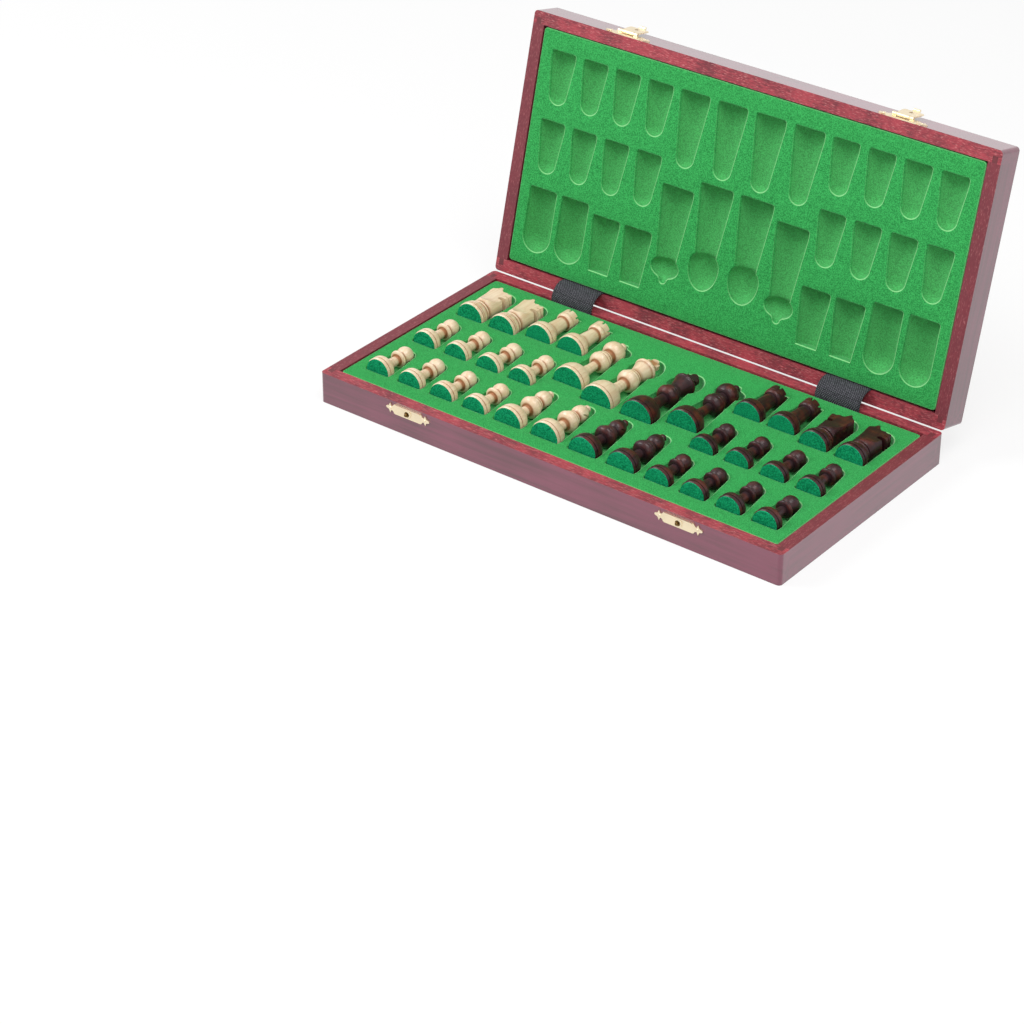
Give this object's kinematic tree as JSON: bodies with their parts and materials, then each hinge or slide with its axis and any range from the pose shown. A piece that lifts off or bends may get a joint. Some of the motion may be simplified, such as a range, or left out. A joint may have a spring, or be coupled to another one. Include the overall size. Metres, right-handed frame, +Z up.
{
  "type": "folding chess box",
  "caption": "Folding wooden chess box: two shallow halves on webbing straps, a chequered board outside, formed trays inside, turned men and brass hasps.",
  "frame": {"origin": "middle of the base's underside, the face it rests on", "axes": "+X along the hinge, towards the black men; +Y from the clasps to the hinge; +Z up"},
  "size_m": [0.406, 0.2848, 0.2279],
  "materials": {
    "stained_wood": "gloss lacquer over red-brown stain",
    "board_panel": "gloss lacquer over dark stain, burnt lines",
    "light_veneer": "gloss lacquer over pale maple",
    "flocked_tray": "green flock",
    "webbing": "woven black webbing",
    "brass": "bright stamped brass",
    "white_men": "satin lacquered pale wood",
    "black_men": "satin lacquered dark stain",
    "felt": "green felt"
  },
  "bodies": {
    "base": {"base_front_wall": "stained_wood", "base_back_wall": "stained_wood", "base_left_wall": "stained_wood", "base_right_wall": "stained_wood", "base_panel": "board_panel", "base_light_squares": "light_veneer", "base_tray": "flocked_tray", "base_clasp_nails": "brass", "strap_base_tabs": "webbing", "strike_plates": "brass"},
    "lid": {"lid_front_wall": "stained_wood", "lid_back_wall": "stained_wood", "lid_left_wall": "stained_wood", "lid_right_wall": "stained_wood", "lid_panel": "board_panel", "lid_light_squares": "light_veneer", "lid_tray": "flocked_tray", "lid_clasp_nails": "brass", "strap_lid_tabs": "webbing", "left_hasp_plate": "brass", "right_hasp_plate": "brass", "hasp_pins": "brass"},
    "strap_lower": {"strap_lower_leaves": "webbing"},
    "strap_upper": {"strap_upper_leaves": "webbing"},
    "left_hasp": {"left_hasp": "brass"},
    "right_hasp": {"right_hasp": "brass"},
    "white_men": {"white_pawn_1": "white_men", "white_pawn_2": "white_men", "white_pawn_3": "white_men", "white_pawn_4": "white_men", "white_pawn_5": "white_men", "white_pawn_6": "white_men", "white_pawn_7": "white_men", "white_pawn_8": "white_men", "white_bishop_1": "white_men", "white_bishop_2": "white_men", "white_knight_1": "white_men", "white_knight_2": "white_men", "white_rook_1": "white_men", "white_rook_2": "white_men", "white_queen": "white_men", "white_king": "white_men", "white_felts": "felt"},
    "black_men": {"black_pawn_1": "black_men", "black_pawn_2": "black_men", "black_pawn_3": "black_men", "black_pawn_4": "black_men", "black_pawn_5": "black_men", "black_pawn_6": "black_men", "black_pawn_7": "black_men", "black_pawn_8": "black_men", "black_bishop_1": "black_men", "black_bishop_2": "black_men", "black_knight_1": "black_men", "black_knight_2": "black_men", "black_rook_1": "black_men", "black_rook_2": "black_men", "black_queen": "black_men", "black_king": "black_men", "black_felts": "felt"}
  },
  "joints": [
    {"name": "lid_hinge", "type": "hinge", "parent": "base", "child": "lid", "pos_m": [0, 0.1035, 0.0248], "axis": [-1, 0, 0], "range_deg": [-104, 76]},
    {"name": "strap_lower_fold", "type": "hinge", "parent": "base", "child": "strap_lower", "pos_m": [0, 0.093, 0.0248], "axis": [-1, 0, 0], "range_deg": [-104, 76]},
    {"name": "strap_upper_fold", "type": "hinge", "parent": "strap_lower", "child": "strap_upper", "pos_m": [0, 0.09554, 0.03499], "axis": [-1, 0, 0], "range_deg": [-76, 104]},
    {"name": "left_hasp_hinge", "type": "hinge", "parent": "lid", "child": "left_hasp", "pos_m": [-0.1195, 0.15843, 0.2265], "axis": [-1, 0, 0], "range_deg": [-176, 4]},
    {"name": "right_hasp_hinge", "type": "hinge", "parent": "lid", "child": "right_hasp", "pos_m": [0.1195, 0.15843, 0.2265], "axis": [-1, 0, 0], "range_deg": [-176, 4]},
    {"name": "white_men_lift", "type": "slide", "parent": "base", "child": "white_men", "axis": [0, 0, 1], "range_m": [0, 0.08]},
    {"name": "black_men_lift", "type": "slide", "parent": "base", "child": "black_men", "axis": [0, 0, 1], "range_m": [0, 0.08]}
  ],
  "couplings": [
    {"joint": "strap_lower_fold", "follows": "lid_hinge", "ratio": 1},
    {"joint": "strap_upper_fold", "follows": "lid_hinge", "ratio": -1}
  ]
}
